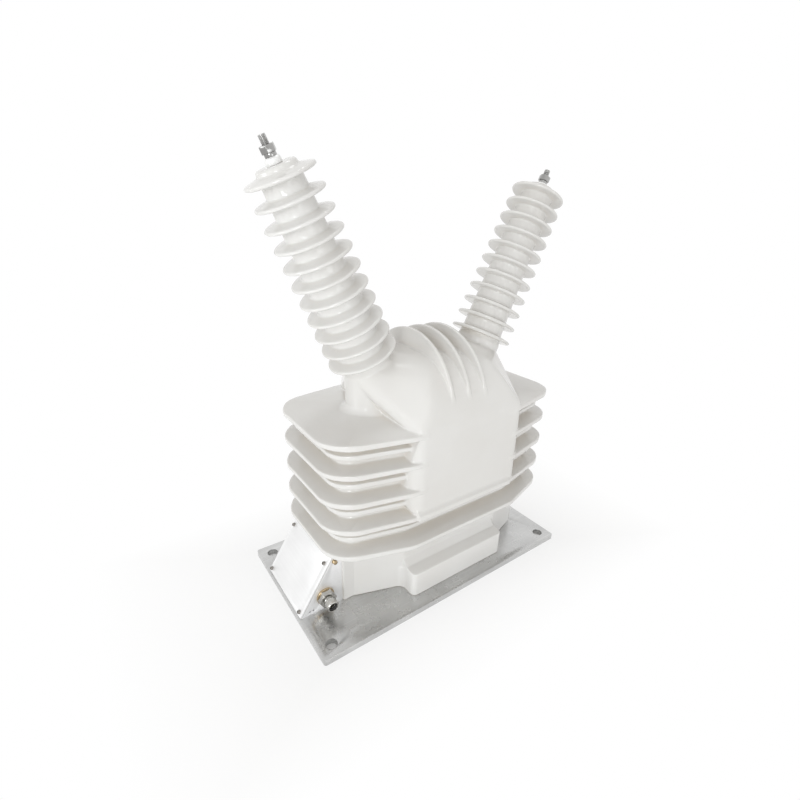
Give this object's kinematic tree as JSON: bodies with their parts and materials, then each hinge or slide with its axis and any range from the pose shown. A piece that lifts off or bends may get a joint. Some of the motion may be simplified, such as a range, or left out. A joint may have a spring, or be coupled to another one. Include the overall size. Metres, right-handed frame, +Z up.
{
  "type": "outdoor instrument transformer",
  "caption": "Cast-resin outdoor voltage transformer: finned body with two leaning shedded bushings, terminal box and cable gland, on a flat steel base plate with corner holes",
  "frame": {"origin": "centre of the base plate's hole pattern, on the plate's underside", "axes": "+Z up, the poles lean apart along X, the terminal box is at the -X end"},
  "size_m": [0.5515, 0.283, 0.6749],
  "materials": {
    "plate_steel": "galvanised, cloudy",
    "cast_resin": "gloss",
    "core_steel": "laminated",
    "laminate": "matt",
    "copper": "enamelled copper",
    "zinc_steel": "zinc plated",
    "white_metal": "satin",
    "sheet_metal": "satin",
    "rubber": "matt",
    "dark_steel": "blackened",
    "brass": "satin",
    "nickel": "bright"
  },
  "bodies": {
    "root": {"base_plate": "plate_steel", "resin_body": "cast_resin", "iron_core": "core_steel", "former_tube": "laminate", "secondary_winding": "copper", "barrier_tube": "laminate", "primary_winding": "copper", "hv_lead_left": "copper", "hv_lead_right": "copper", "secondary_leads": "copper", "line_stud_left": "zinc_steel", "line_stud_right": "zinc_steel", "collar_left": "white_metal", "collar_right": "white_metal", "washer_left": "zinc_steel", "washer_right": "zinc_steel", "line_nut_left": "zinc_steel", "line_nut_right": "zinc_steel", "terminal_box": "sheet_metal", "cover_gasket": "rubber", "cover_plate": "sheet_metal", "cover_screws": "dark_steel", "box_screws": "dark_steel", "terminal_board": "laminate", "secondary_studs": "brass", "secondary_nuts": "brass", "gland_ring": "brass", "gland_body": "nickel", "gland_cap": "nickel", "gland_seal": "rubber", "gland_locknut": "brass", "earth_screw": "brass", "body_inserts": "brass", "body_bolts": "zinc_steel"}
  },
  "joints": []
}
